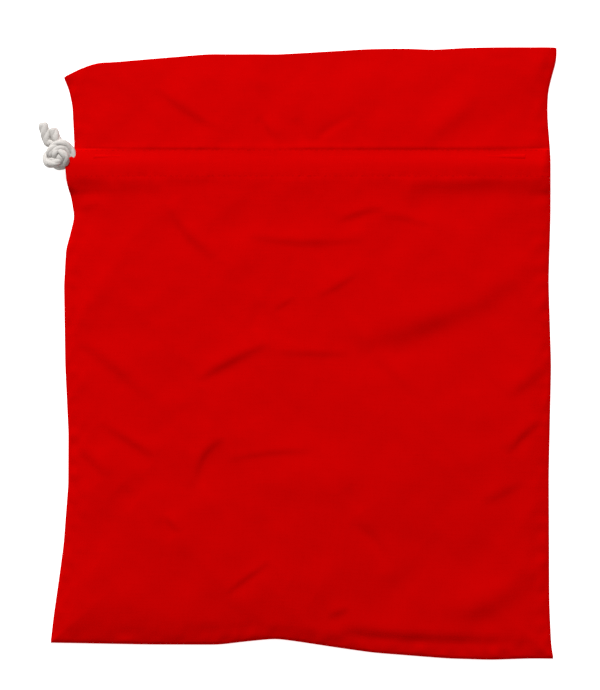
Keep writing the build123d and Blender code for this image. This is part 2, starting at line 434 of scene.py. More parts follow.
def crease(x, y, kind, height, width, *points):
    """The height that one crease adds: a valley, a ridge, or a step that falls downwards."""
    line = crease_line(points)
    best = np.full(x.shape, 1e9)
    aside = np.zeros(x.shape)
    along = np.zeros(x.shape)
    for i, (start, end) in enumerate(zip(line[:-1], line[1:])):
        run = end - start
        length = np.hypot(*run)
        dx, dy = x - start[0], y - start[1]
        t = np.clip((dx * run[0] + dy * run[1]) / length**2, 0, 1)
        away = np.hypot(dx - t * run[0], dy - t * run[1])
        near = away < best
        best = np.where(near, away, best)
        aside = np.where(near, (run[0] * dy - run[1] * dx) / length, aside)
        along = np.where(near, (i + t) / CREASE_PARTS, along)
    reach = best / width
    fade = np.sin(np.pi * np.clip(along, 0, 1)) ** END_FADE
    if kind == "step":
        shape = 2 * np.clip(aside / width, -reach, reach)
    else:
        shape = -1 if kind == "valley" else 1
    return height * fade * shape / (1 + reach**2) * np.exp(-((reach / DRAPE) ** 2))


CREASES = [
    ("step", 0.97, 8.6, (24, 1), (48, 9), (80, 21), (114, 43)),
    ("step", 0.46, 3.2, (-71, 75), (-60, 59), (-46, 47)),
    ("step", 0.22, 2.2, (-31, 59), (-6, 55), (31, 56.5)),
    ("step", 0.31, 2.3, (15, 65.5), (26, 69.5), (38, 72)),
    ("step", 0.20, 2.0, (36, 68), (50, 66.5), (63, 62)),
    ("step", 0.82, 9.7, (50, 80), (86, 86), (123, 85)),
    ("step", 0.20, 2.0, (-18, 0.5), (3, -0.5), (23, -0.5)),
    ("step", 0.46, 4.3, (-116, 5), (-99, -6), (-80, -24)),
    ("step", 0.56, 3.2, (-54, -14), (-41, -6), (-19, 4.5)),
    ("valley", 0.41, 2.9, (-24, 25), (-26, 11)),
    ("step", 0.41, 2.9, (-105, -35), (-86, -46), (-76, -53)),
    ("step", 0.51, 2.9, (-55, -67), (-52, -52), (-41, -43)),
    ("step", 0.22, 2.0, (-41, -54), (-19, -50), (3, -49.5)),
    ("step", 0.41, 3.2, (-116, -48), (-108, -54), (-101, -62)),
    ("step", 0.51, 2.9, (101, -50), (107, -42), (117, -34)),
    ("step", 0.46, 4.3, (86, -75), (98, -70), (109, -64)),
    ("valley", 0.56, 3.3, (21, -86), (34, -95), (37, -110)),
    ("step", 0.36, 2.3, (-41, -121), (-31, -113), (-18, -104)),
    ("step", 0.41, 2.9, (10, -132), (21, -128)),
    ("step", 0.56, 4.0, (16, -138), (52, -142), (104, -143)),
    ("step", 0.18, 5.0, (-124, -137), (-76, -139), (-22, -136)),
    ("valley", 0.67, 5.7, (-119, 89), (-111, 82), (-107, 71)),
    ("step", 0.46, 3.2, (-119, 74), (-112, 72), (-103, 75)),
    ("ridge", 0.45, 5.7, (-100, 91), (-90, 96), (-72, 98)),
    ("step", 0.36, 2.9, (-75, 132), (-62, 121.5), (-43, 111)),
    ("step", 0.31, 2.3, (-23, 118), (-20, 112), (-16, 107)),
    ("valley", 0.46, 2.4, (0.5, 103), (-2, 109), (-6, 117)),
    ("valley", 0.46, 2.4, (3, 103), (11, 112), (26, 119)),
    ("step", 0.56, 6.5, (60, 104), (74, 116), (90, 130)),
    ("valley", 0.20, 1.9, (90, 148.5), (97, 146.5), (103, 148)),
    ("step", 0.20, 2.0, (-17, 21), (-6, 28)),
    ("step", 0.26, 2.3, (5, 28), (15, 33), (26, 40.5)),
    ("step", 0.22, 4.3, (31, -3), (42, -10), (53, -23)),
    ("valley", 0.22, 3.7, (36, -32), (44, -42), (51, -53)),
    ("step", 0.56, 4.6, (101, -23), (110, -15), (120, -8)),
    ("valley", 0.31, 4.3, (-115, -99), (-105, -105)),
    ("valley", 0.32, 4.3, (-94, -67), (-85, -74)),
    ("step", 0.31, 2.3, (-72, -81), (-64, -90)),
    ("valley", 0.32, 5.7, (-9, -115), (3, -121)),
    ("valley", 0.29, 3.7, (-18, -65), (-19, -81)),
    ("valley", 0.29, 4.3, (19, -67), (27, -79)),
    ("valley", 0.22, 3.2, (-54, -18), (-51, -37)),
    ("ridge", 0.47, 10.9, (-52, 36), (-34, 46), (-8, 44)),
    ("ridge", 0.42, 14.5, (-20, -70), (10, -60), (50, -40)),
    ("valley", 0.52, 10.9, (70, -12), (92, -4), (112, 14)),
    ("valley", 0.42, 9.7, (58, -96), (76, -104), (96, -100)),
    ("ridge", 0.36, 8.6, (-108, 30), (-92, 38), (-70, 36)),
    ("ridge", 0.37, 8.5, (-100, 138), (-60, 136), (-10, 138)),
    ("step", 0.99, 8.8, (66, -131), (96, -126), (121, -104)),
    ("step", 0.90, 30.0, (0, -150), (50, -90), (122, -50)),
    ("step", 0.40, 9.0, (70, 104), (92, 122), (122, 140)),
]


def wrinkles(x, y):
    """All creases together."""
    return sum(crease(x, y, *shape_and_points) for shape_and_points in CREASES)


def gentle_noise(x, y, size, seed):
    """Smooth random unevenness from a few dozen waves."""
    chance = np.random.default_rng(seed)
    total = np.zeros_like(x)
    for _ in range(WAVES):
        angle, phase = chance.uniform(0, TAU, 2)
        wave = size * chance.uniform(0.6, 1.8)
        total += np.sin((x * np.cos(angle) + y * np.sin(angle)) * TAU / wave + phase)
    return total / 5.0


print(f"{len(CREASES)} creases")

# %% [markdown]
# ## The height of the front cloth
# From the table upwards there are the back cloth, the seam allowances along three edges, the air
# that the sack holds, and the front cloth. The cloth rolls over each seam with a small round and
# swells softly away from it. Both rows of stitches press a groove into it, and between them the
# drawcord lifts a ridge. At the left the casing is open, because the cord comes out there, so the
# cloth arches over the opening as if no seam were near. The header leans down to its folded edge.
# The upper groove is steep on the header's side and gentle on the casing's side. Each part of the
# height has its own short function, and the last one adds them up.

# %% Heights of the front cloth, in millimetres
PLY = 0.9 * CLOTH
BACK_INNER = 0.85
BACK_HEM_TOP = 1.4
SEAM_LEVEL = 0.6
EDGE_ROUND = 1.7
SEAM_STACK = 2.3
BODY_AIR = 4.2
HEADER_AIR = 3.9
HEADER_LEAN = 0.8
AIR_REACH = 26.0
NEAR_REACH, NEAR_SHARE = 7.0, 0.6
LEFT_LIFT, RIGHT_LIFT = 24.0, 12.0
BELOW_OPENING = 9.0
RIGHT_ROUND = 4.5
RIDGE, RIDGE_AT_SIDES = 0.38, 0.3
CORD_SWELL, CORD_SWELL_REACH = 0.2, 5.0
RIDGE_RISE, RIDGE_TAIL = 8.0, 26.0
UPPER_GROOVE, UPPER_GROOVE_STEEP, UPPER_GROOVE_GENTLE = 0.5, 1.0, 4.2
LOWER_GROOVE, LOWER_GROOVE_WIDTH = 0.07, 1.6
SLACK_SHARE, SLACK_AT, SLACK_REACH = 0.6, -22.0, 20.0
ROW_REACH, SEAM_FADE = 3.0, 9.0
CASING_MIDDLE = (FLAT_LOWER + FLAT_UPPER) / 2
CASING_HALF = (FLAT_UPPER - FLAT_LOWER) / 2


def smooth(value, low, high):
    """0 below low, 1 above high, and a smooth rise between."""
    t = np.clip((value - low) / (high - low), 0, 1)
    return t * t * (3 - 2 * t)


def round_edge(distance, radius):
    """How far a rolled edge has come up at a distance from it, from 0 to 1."""
    t = np.clip(1 - distance / radius, 0, 1)
    return np.sqrt(1 - t * t)


def opening(up):
    """How open the casing's ends are: 1 at its middle, 0 just past the rows."""
    away = up - CASING_MIDDLE
    t = away / np.where(away > 0, CASING_HALF + 0.8, CASING_HALF + BELOW_OPENING)
    return np.clip(1 - t * t, 0, 1) ** np.where(away > 0, 0.5, 1.1)


def row_distance(up):
    """How far a station is from the nearer row of casing stitches."""
    return np.minimum(np.abs(up - FLAT_UPPER), np.abs(up - FLAT_LOWER))


def seam_distance(x, y, up, right_lift=0.0):
    """The distance to the nearest sewn edge; the casing's ends count as further away."""
    left = x - left_edge(y) + LEFT_LIFT * opening(up)
    right = right_edge(y) - x + right_lift * opening(up)
    return np.minimum(np.minimum(left, right), y - bottom_edge(x))


def puckers(x, y, up, seam):
    """Small gathers beside the seams and the stitch rows."""
    beside_seam = 0.35 * np.exp(-seam / 5.0) * smooth(seam, 0, 2.5) * gentle_noise(x, y, 9, 8)
    beside_row = 0.10 * np.exp(-row_distance(up) / ROW_REACH) * gentle_noise(x * 1.6, y * 0.5, 7, 3)
    return beside_seam + beside_row


def air_below(up, swelling):
    """The air under the cloth: it fills quickly beside a seam, and the header leans down."""
    header = smooth(up, FLAT_UPPER - 1, FLAT_UPPER + 4)
    lean = HEADER_LEAN * (np.clip(up - FLAT_UPPER, 0, None) / (FLAT_LENGTH - FLAT_UPPER)) ** 1.7
    near, far = 1 - np.exp(-swelling / NEAR_REACH), 1 - np.exp(-swelling / AIR_REACH)
    fullness = NEAR_SHARE * near + (1 - NEAR_SHARE) * far
    return (BODY_AIR + (HEADER_AIR - BODY_AIR) * header - lean) * fullness


def calmed_creases(x, y, up, seam):
    """Creases and crumple, which seams, stitch rows and the filled casing hold flatter."""
    crumple = 0.25 * gentle_noise(x, y, 36, 5) + 0.06 * gentle_noise(x, y, 13, 17)
    lower_left = 1 - smooth(x - y, -60, 120)
    crumple = crumple + 0.02 * gentle_noise(x, y, 7, 23) * lower_left
    creases = (wrinkles(x, y) + crumple) * smooth(seam, 0, SEAM_FADE)
    near_rows = np.exp(-((row_distance(up) / ROW_REACH) ** 2))
    above_lower = smooth(up, FLAT_LOWER - 1, FLAT_LOWER + 1)
    below_upper = 1 - smooth(up, FLAT_UPPER - 1, FLAT_UPPER + 1)
    return creases * (1 - 0.75 * near_rows) * (1 - 0.7 * (above_lower * below_upper))


def ridge_over_cords(x, up):
    """The broad ridge below the upper row, and the swelling over the front run."""
    from_lower = up - FLAT_LOWER
    rise = smooth(FLAT_UPPER - up, 0, RIDGE_RISE)
    ridge = RIDGE + RIDGE_AT_SIDES * (x / HALF_WIDTH) ** 2
    lift = ridge * rise * smooth(from_lower, -RIDGE_TAIL, 3.0)
    return lift + CORD_SWELL * np.exp(-((from_lower / CORD_SWELL_REACH) ** 2))


def row_grooves(x, up, seam):
    """The grooves that both rows press in; the upper one is slack for a short stretch."""
    from_upper, from_lower = up - FLAT_UPPER, up - FLAT_LOWER
    slack_row = 1 - SLACK_SHARE * np.exp(-(((x - SLACK_AT) / SLACK_REACH) ** 2))
    flank = np.where(from_upper > 0, UPPER_GROOVE_STEEP, UPPER_GROOVE_GENTLE)
    grooves = UPPER_GROOVE * slack_row * np.exp(-((from_upper / flank) ** 2))
    grooves = grooves + LOWER_GROOVE * np.exp(-((from_lower / LOWER_GROOVE_WIDTH) ** 2))
    return grooves * smooth(seam, 1, 8)


def front_height(x, y, up):
    """The front cloth's upper face."""
    seam = seam_distance(x, y, up)
    swelling = seam_distance(x, y, up, RIGHT_LIFT)
    height = SEAM_STACK + air_below(up, swelling) + calmed_creases(x, y, up, seam)
    height = height + ridge_over_cords(x, up) * smooth(swelling, 0, SEAM_FADE)
    height = height - row_grooves(x, up, seam) + puckers(x, y, up, seam)
    rounding = EDGE_ROUND + (RIGHT_ROUND - EDGE_ROUND) * opening(up) * (x > 0)
    return SEAM_LEVEL + (height - SEAM_LEVEL) * round_edge(seam, rounding)


front_z = front_height(*lay(COLUMNS, STATIONS), np.repeat(STATIONS[:, None], len(COLUMNS), axis=1))
print(f"front cloth from {front_z.min():.1f} to {front_z.max():.1f} mm high")

# %% [markdown]
# ## Letting the cloth settle
# Drawn creases alone look stiff. A coarse copy of the front cloth is cut a little too large and is
# dropped as real cloth on to the drawn shape, held at its seams and stitch rows. The spare cloth
# buckles into small folds of its own. How far each point moved is then added to the fine cloth.
# The copy is ten times life size, because the solver works best with things about a metre long.

# %% Cloth simulation of the front
SIM_SCALE = 10.0
SIM_FRAMES = 26
SPARE_CLOTH = 0.006
SIM_COLUMNS = np.linspace(-1, 1, 101)
SIM_STATIONS = np.concatenate([
    np.linspace(0, FLAT_LOWER, 98)[:-1],
    np.linspace(FLAT_LOWER, FLAT_UPPER, 6)[:-1],
    np.linspace(FLAT_UPPER, FLAT_LENGTH, 22),
])
MOST_RISE, MOST_FALL = 1.6, 1.2
COTTON_SETTINGS = dict(
    vertex_group_mass="held", quality=7, mass=0.4, tension_stiffness=40, compression_stiffness=40,
    shear_stiffness=12, bending_stiffness=0.8, shrink_min=-SPARE_CLOTH,
)
FORM_DEPTH = 0.5
HELD_MARGIN = 2.6
EASE_ROUNDS = 3


def placed(name, mesh):
    """An object of that name in the scene."""
    made = bpy.data.objects.new(name, mesh)
    scene.collection.objects.link(made)
    return made


def grid_faces(rows, columns):
    """The corner numbers of a grid's square faces."""
    number = np.arange(rows * columns).reshape(rows, columns)
    corners = [number[:-1, :-1], number[:-1, 1:], number[1:, 1:], number[1:, :-1]]
    return np.stack(corners, -1).reshape(-1, 4)


def finished_mesh(made):
    """A copy of an object's mesh with its modifiers done."""
    evaluated = made.evaluated_get(bpy.context.evaluated_depsgraph_get())
    return bpy.data.meshes.new_from_object(evaluated)


def grid_object(name, points):
    """An open mesh of square faces from a grid of points in millimetres, ten times life size."""
    rows, columns = points.shape[:2]
    corners = points.reshape(-1, 3) * MM * SIM_SCALE
    mesh = bpy.data.meshes.new(name)
    mesh.from_pydata(corners.tolist(), [], grid_faces(rows, columns).tolist())
    return placed(name, mesh)


def settle():
    """How far each coarse point moves, in millimetres, once the cloth has settled."""
    x, y = lay(SIM_COLUMNS, SIM_STATIONS)
    up = np.repeat(SIM_STATIONS[:, None], len(SIM_COLUMNS), axis=1)
    start = np.stack([x, y, front_height(x, y, up)], -1)
    form = grid_object("drawn_form", start - [0, 0, FORM_DEPTH])
    form.modifiers.new("collision", "COLLISION")
    form.collision.thickness_outer = 0.001
    form.collision.cloth_friction = 12
    cloth = grid_object("settling_cloth", start)
    in_casing = (up > FLAT_LOWER - 0.5) & (up < FLAT_UPPER + 0.5)
    held = (seam_distance(x, y, up) < HELD_MARGIN) | in_casing
    group = cloth.vertex_groups.new(name="held")
    group.add(np.flatnonzero(held.ravel()).tolist(), 1.0, "REPLACE")
    modifier = cloth.modifiers.new("cloth", "CLOTH")
    for name, value in COTTON_SETTINGS.items():
        setattr(modifier.settings, name, value)
    modifier.collision_settings.distance_min = 0.002
    modifier.point_cache.frame_end = SIM_FRAMES
    for frame_number in range(1, SIM_FRAMES + 1):
        scene.frame_set(frame_number)
    settled = finished_mesh(cloth)
    places = np.zeros(3 * len(settled.vertices))
    settled.vertices.foreach_get("co", places)
    scene.frame_set(1)
    for made in (form, cloth):
        mesh = made.data
        bpy.data.objects.remove(made)
        bpy.data.meshes.remove(mesh)
    bpy.data.meshes.remove(settled)
    return places.reshape(start.shape) / (MM * SIM_SCALE) - start


def between(values, columns, stations):
    """Values on the coarse grid, read at other columns and stations."""
    wide = np.stack([np.interp(columns, SIM_COLUMNS, row) for row in values])
    return np.stack([np.interp(stations, SIM_STATIONS, column) for column in wide.T], axis=1)


def eased(values):
    """Each value drawn towards its neighbours, which takes the weave of the coarse grid out."""
    for _ in range(EASE_ROUNDS):
        for axis in (0, 1):
            count = values.shape[axis]
            padded = np.take(values, [0, *range(count), -1], axis=axis)
            low, mid, high = (np.take(padded, range(i, i + count), axis=axis) for i in range(3))
            values = 0.25 * low + 0.5 * mid + 0.25 * high
    return values


moved = eased(settle())
moved[..., 2] = np.clip(moved[..., 2], -MOST_FALL, MOST_RISE)
print(f"settled by {moved[..., 2].min():.2f} to {moved[..., 2].max():.2f} mm")

# %% [markdown]
# ## One cloth, folded over
# Each panel is one piece of cloth: it runs up the sack, over the folded edge, and down inside to
# just below the casing. The grid of points follows all of that, so the fold is round. It is then
# cut where the fold turns inward, because the panel and its hem are separate pieces of the part.

# %% Grids for the panels and their hems
FOLD_STEPS = 8
FOLD_REACH = 8.0
HEM_SPAN = extent("front_hem", X) / 2 / HALF_WIDTH
HEM_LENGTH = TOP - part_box("front_hem")[0].y / MM
HEM_GAP = 0.08
BACK_CORD_Y, BACK_CORD_Z = CORD_LINE + 0.1, 3.05
FRONT_CORD_Y, FRONT_CORD_Z = CORD_LINE - 5.2, 4.35
BUMP_REACH, POCKET_REACH = 3.7, 4.4
BUMP_CLEARANCE, POCKET_CLEARANCE = 0.25, 0.3
TURN_CLEAR = (113, 118)
PRESSED, FREE = 2, 9
ROW_EASE = 5
hem_stations = FLAT_LENGTH - graded(0.0, HEM_LENGTH, 0.8, 0.5)[1:]


def grid_normals(points):
    """The unit normal at each point of a grid of points."""
    across = np.gradient(points, axis=1)
    up = np.gradient(points, axis=0)
    normal = np.cross(across, up)
    return normal / np.linalg.norm(normal, axis=2, keepdims=True)


def back_outer(x, y, up):
    """The back cloth's lower face, which lies on the table and lifts a little at the seams."""
    seam = np.minimum(np.minimum(x - left_edge(y), right_edge(y) - x), y - bottom_edge(x))
    slack = np.clip(0.14 + 0.12 * gentle_noise(x, y, 40, 11), 0.0, 0.35)
    return slack + (SEAM_LEVEL - 0.08 - slack) * (1 - round_edge(seam, 1.3))


def back_inner(x, y, up):
    """The back hem's upper face, which rides over the cord's back run."""
    reach = np.clip(np.abs(y - BACK_CORD_Y) / BUMP_REACH, 0, 1)
    cord_top = BACK_CORD_Z + CORD_RADIUS + PLY + BUMP_CLEARANCE
    bump = (cord_top - BACK_HEM_TOP) * np.cos(np.pi / 2 * reach) ** 0.75
    return BACK_HEM_TOP + bump * (1 - smooth(x, *TURN_CLEAR))


def front_inner(x, y, up):
    """The front hem's lower face, with a pocket below the cord's front run."""
    hanging = front_height(x, y, up) - 2 * PLY - HEM_GAP
    reach = np.clip(np.abs(y - FRONT_CORD_Y) / POCKET_REACH, 0, 1)
    cord_bottom = FRONT_CORD_Z - CORD_RADIUS - PLY - POCKET_CLEARANCE
    hanging -= (hanging - cord_bottom) * np.cos(np.pi / 2 * reach) ** 0.9
    resting = back_inner(x, y, up) + 0.15
    return np.maximum(hanging, np.where(up < FLAT_UPPER + 2, resting, hanging))


def folded_sheet(columns, stations, outer, inner, radius, turn_down, reach=None):
    """Points of a panel, its folded edge and its hem; also their flat places, in millimetres."""
    x, y = lay(columns, stations)
    if reach is not None:
        y = y + reach(x) * smooth(stations, FLAT_LENGTH - 12, FLAT_LENGTH)[:, None]
    up = np.repeat(stations[:, None], len(columns), axis=1)
    face = np.stack([x, y, outer(x, y, up)], -1)
    hem_x, hem_y = lay(columns, hem_stations)
    hem_up = np.repeat(hem_stations[:, None], len(columns), axis=1)
    hem = np.stack([hem_x, hem_y, inner(hem_x, hem_y, hem_up)], -1)
    angle = np.linspace(0, np.pi, FOLD_STEPS + 1)[1:, None]
    top = face[-1]
    r = radius(top)
    fold = np.stack([
        np.broadcast_to(top[:, 0], (FOLD_STEPS, len(columns))),
        top[:, 1] + r * np.sin(angle),
        top[:, 2] + turn_down * r * (1 - np.cos(angle)),
    ], -1)
    lead = smooth(hem_y[0] - hem_y, 0, FOLD_REACH)
    gap = fold[-1, :, 2] - hem[0, :, 2]
    hem[..., 2] += gap * (1 - lead)
    points = np.concatenate([face, fold, hem])
    flat_rows = np.concatenate([
        stations,
        FLAT_LENGTH + np.linspace(0, np.pi * 0.5, FOLD_STEPS + 1)[1:],
        2 * FLAT_LENGTH - hem_stations + np.pi * 0.5,
    ])
    flat_x = np.repeat(columns[None, :] * HALF_WIDTH, len(flat_rows), axis=0)
    flat_y = np.repeat(flat_rows[:, None], len(columns), axis=1)
    return points, np.stack([flat_x, flat_y], -1)


def front_fold_radius(top):
    """The front's fold turns down on to the back, and is tight where the header lies low."""
    return np.clip((top[:, 2] - BACK_HEM_TOP - 0.1) / 2, 0.04, PLY + HEM_GAP / 2)


def back_fold_radius(top):
    """The back's fold turns up from the table to its hem."""
    return np.clip((BACK_HEM_TOP - top[:, 2]) / 2, 0.1, None)


def settled_height(stations):
    """How far the settled cloth moved at these stations; seams and the casing stay held."""
    x, y = lay(COLUMNS, stations)
    seam_free = smooth(seam_distance(x, y, stations[:, None]), PRESSED, FREE)
    from_casing = np.abs(stations - CASING_MIDDLE)[:, None]
    row_free = smooth(from_casing, CASING_HALF, CASING_HALF + ROW_EASE)
    return between(moved[..., 2], COLUMNS, stations) * seam_free * row_free


front_points, front_flat = folded_sheet(
    COLUMNS, STATIONS, front_height, front_inner, front_fold_radius, -1
)
fold_first, hem_first = len(STATIONS), len(STATIONS) + FOLD_STEPS
front_moved = settled_height(STATIONS)
front_points[:fold_first, :, 2] += front_moved
front_points[fold_first:hem_first, :, 2] += front_moved[-1]
front_points[hem_first:, :, 2] += settled_height(hem_stations)
front_normals = grid_normals(front_points)
back_half = graded(0.0, HALF_WIDTH, 2.6, 0.5, (False, True)) / HALF_WIDTH
back_columns = np.concatenate([-back_half[:0:-1], back_half])[::-1]
back_stations = graded(0.0, FLAT_LENGTH, 2.6, 0.5)
PEEK, PEEK_AT, PEEK_REACH = 0.9, -106.0, 8.0
back_points, back_flat = folded_sheet(
    back_columns, back_stations, back_outer, back_inner, back_fold_radius, 1,
    reach=lambda x: PEEK * np.exp(-(((x - PEEK_AT) / PEEK_REACH) ** 2)),
)
back_normals = grid_normals(back_points)
print("front grid", front_points.shape[:2], "back grid", back_points.shape[:2])

# %% [markdown]
# ## Cloth with two faces
# A sheet is a grid of points. Its solid has an outer face, an inner face one cloth away along the
# surface's own normal, and a rim all round. The front is made as a left and a right half, which meet
# at the middle, where the cloth lifts when the mouth opens. All the pieces of one cloth take their
# normals from the whole cloth, so no line shows where they meet.

# %% From a grid to a solid sheet


def sheet_mesh(name, points, normals, flat, thickness, material):
    """A closed sheet from a grid of outer points, with its flat place in metres as its UV map."""
    rows, columns = points.shape[:2]
    count = rows * columns
    inner = points - normals * thickness
    corners = np.concatenate([points.reshape(-1, 3), inner.reshape(-1, 3)]) * MM
    number = np.arange(count).reshape(rows, columns)
    face = grid_faces(rows, columns)
    ring = np.concatenate([number[0, :-1], number[:-1, -1], number[-1, :0:-1], number[:0:-1, 0]])
    following = np.roll(ring, -1)
    rim = np.stack([ring, ring + count, following + count, following], -1)
    faces = np.concatenate([face, face[:, ::-1] + count, rim])
    mesh = bpy.data.meshes.new(name)
    mesh.from_pydata(corners.tolist(), [], faces.tolist())
    smooth_faces = np.repeat([True, False], [2 * len(face), len(rim)])
    mesh.polygons.foreach_set("use_smooth", smooth_faces)
    loops = np.zeros(len(mesh.loops), int)
    mesh.loops.foreach_get("vertex_index", loops)
    layer = mesh.uv_layers.new(name="UVMap")
    layer.data.foreach_set("uv", (np.tile(flat.reshape(-1, 2), (2, 1)) * MM)[loops].ravel())
    direction = np.concatenate([normals.reshape(-1, 3), -normals.reshape(-1, 3)])[loops]
    direction[np.repeat(~smooth_faces, 4)] = 0
    mesh.normals_split_custom_set(direction.tolist())
    mesh.materials.append(material)
    print(f"{name}: {2 * len(faces)} triangles")
    return placed(name, mesh)


def cut(name, grid, rows, columns):
    """One piece of a whole cloth: the given rows and columns of its grid."""
    points, normals, flat = (part[rows, columns] for part in grid)
    return sheet_mesh(name, points, normals, flat, PLY, RED_COTTON)


FRONT = (front_points, front_normals, front_flat)
BACK = (back_points, back_normals, back_flat)
SIDES = ("left", "right")


def halves(chosen):
    """The chosen columns of the front as a left and a right half, which share the middle one."""
    return {"left": slice(chosen[0], CENTRE + 1), "right": slice(CENTRE, chosen[-1] + 1)}


def before_and_after(fold_start):
    """The rows of a panel and of its hem, which share the row where the fold turns inward."""
    turn = fold_start + FOLD_STEPS // 2
    return slice(0, turn), slice(turn - 1, None)


cloth_halves = halves(np.arange(len(COLUMNS)))
hem_halves = halves(np.flatnonzero(np.abs(COLUMNS) <= HEM_SPAN))
back_chosen = np.flatnonzero(np.abs(back_columns) <= HEM_SPAN)
back_span = slice(back_chosen[0], back_chosen[-1] + 1)
front_rows, front_hem_rows = before_and_after(len(STATIONS))
back_rows, back_hem_rows = before_and_after(len(back_stations))
front_cloth = {
    side: cut(f"front_cloth_{side}", FRONT, front_rows, cloth_halves[side]) for side in SIDES
}
front_hem = {
    side: cut(f"front_hem_{side}", FRONT, front_hem_rows, hem_halves[side]) for side in SIDES
}
back_cloth = cut("back_cloth", BACK, back_rows, slice(None))
back_hem = cut("back_hem_cloth", BACK, back_hem_rows, back_span)

# %% [markdown]
# ## Seam allowances
# Inside the sack, about nine millimetres of both cloths stand past each seam. They are pressed flat
# and lie on the back cloth as a narrow double strip. Each strip follows its own laid edge.

# %% Strips beside the seams
ALLOWANCE_WIDTH = extent("left_seam_allowance", X)
ALLOWANCE_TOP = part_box("left_seam_allowance")[1].y / MM
ALLOWANCE_INSET = 1.1
ALLOWANCE_LEVEL = BACK_INNER + 0.1
ALLOWANCE_THICKNESS = 2 * PLY - 0.1
ACROSS = np.linspace(0, ALLOWANCE_WIDTH, 7)
side_along = np.arange(BOTTOM + 22, ALLOWANCE_TOP, 2.5)
bottom_along = np.arange(-116.0, 115.0, 2.5)


def strip_points(name, along, inward):
    """The upper face of a strip: rows run along the seam, columns away from it."""
    away, place = np.meshgrid(ACROSS + ALLOWANCE_INSET, along)
    if name == "left":
        x, y = left_edge(place) + away, place
    elif name == "right":
        x, y = right_edge(place) - away, place
    else:
        x, y = place, bottom_edge(place) + away
    ripple = 0.06 * gentle_noise(x, y, 14, 21) * smooth(away, 1, 6)
    z = ALLOWANCE_LEVEL + ALLOWANCE_THICKNESS + np.clip(ripple, -0.08, 0.12)
    points = np.stack([x, y, z], -1)
    return points[:, ::-1] if inward else points


allowances = {}
for name, along, reverse in (
    ("left", side_along, False), ("right", side_along, True), ("bottom", bottom_along, True),
):
    points = strip_points(name, along, reverse)
    flat = np.stack(np.meshgrid(ACROSS, along), -1)
    allowances[name] = sheet_mesh(
        f"{name}_allowance_cloth", points, grid_normals(points), flat,
        ALLOWANCE_THICKNESS, RED_COTTON,
    )

# %% [markdown]
# ## Threads by Geometry Nodes
# Stitches and twisted threads both repeat along a path. The path is a chain of edges, with the
# direction away from the cloth stored at each point. One tree drops a short rounded stitch at even
# steps. The other winds one or more strands round the path, for overlocked edges and for the plies
# of the drawcord. The result is copied out as a plain mesh.

# %% Trees that repeat a shape along a path


def geometry_tree(name, inputs):
    """A Geometry Nodes group with a geometry in and out, and named inputs."""
    group = bpy.data.node_groups.new(name, "GeometryNodeTree")
    group.interface.new_socket("Geometry", in_out="INPUT", socket_type="NodeSocketGeometry")
    group.interface.new_socket("Geometry", in_out="OUTPUT", socket_type="NodeSocketGeometry")
    for label in inputs:
        kind = "NodeSocketMaterial" if label == "Material" else "NodeSocketFloat"
        group.interface.new_socket(label, in_out="INPUT", socket_type=kind)
    entry = group.nodes.new("NodeGroupInput")
    tree = Tree(group)
    return tree, {socket.name: Wire(tree, socket) for socket in entry.outputs if socket.name}


def end_tree(tree, shape, material):
    """Smooth shading, real geometry, and its material."""
    real = tree.add("GeometryNodeRealizeInstances", {}, {0: shape})
    soft = tree.add("GeometryNodeSetShadeSmooth", {}, {0: real})
    painted = tree.add("GeometryNodeSetMaterial", {}, {"Geometry": soft, "Material": material})
    end = tree.tree.nodes.new("NodeGroupOutput")
    tree.tree.links.new(painted.socket, end.inputs[0])
    return tree.tree


def stored(tree, name, kind="FLOAT"):
    """What the path stores at each point under a name."""
    return tree.add("GeometryNodeInputNamedAttribute", {"data_type": kind}, {"Name": name})


def stitch_tree():
    """A row of short rounded stitches along a path."""
    tree, given = geometry_tree("stitch_row", ["Pitch", "Length", "Width", "Height", "Material"])
    path = tree.add("GeometryNodeMeshToCurve", {}, {"Mesh": given["Geometry"]})
    steps = {"Curve": path, "Length": given["Pitch"]}
    spaced = tree.add("GeometryNodeResampleCurve", {"mode": "LENGTH"}, steps)
    facing = {0: tree.add("GeometryNodeInputTangent"), 1: stored(tree, "up", "FLOAT_VECTOR")}
    axes = {"primary_axis": "X", "secondary_axis": "Z"}
    turned = tree.add("FunctionNodeAxesToRotation", axes, facing)
    stitch = tree.add("GeometryNodeMeshUVSphere", {}, {"Segments": 7, "Rings": 5, "Radius": 0.5})
    chance = {2: 0.86, 3: 1.06, "Seed": 4}
    varied = tree.add("FunctionNodeRandomValue", {"data_type": "FLOAT"}, chance, output=1)
    sides = {0: given["Length"] * varied, 1: given["Width"], 2: given["Height"]}
    size = tree.add("ShaderNodeCombineXYZ", {}, sides)
    copies = {"Points": spaced, "Instance": stitch, "Rotation": turned, "Scale": size}
    row = tree.add("GeometryNodeInstanceOnPoints", {}, copies)
    return end_tree(tree, row, given["Material"])


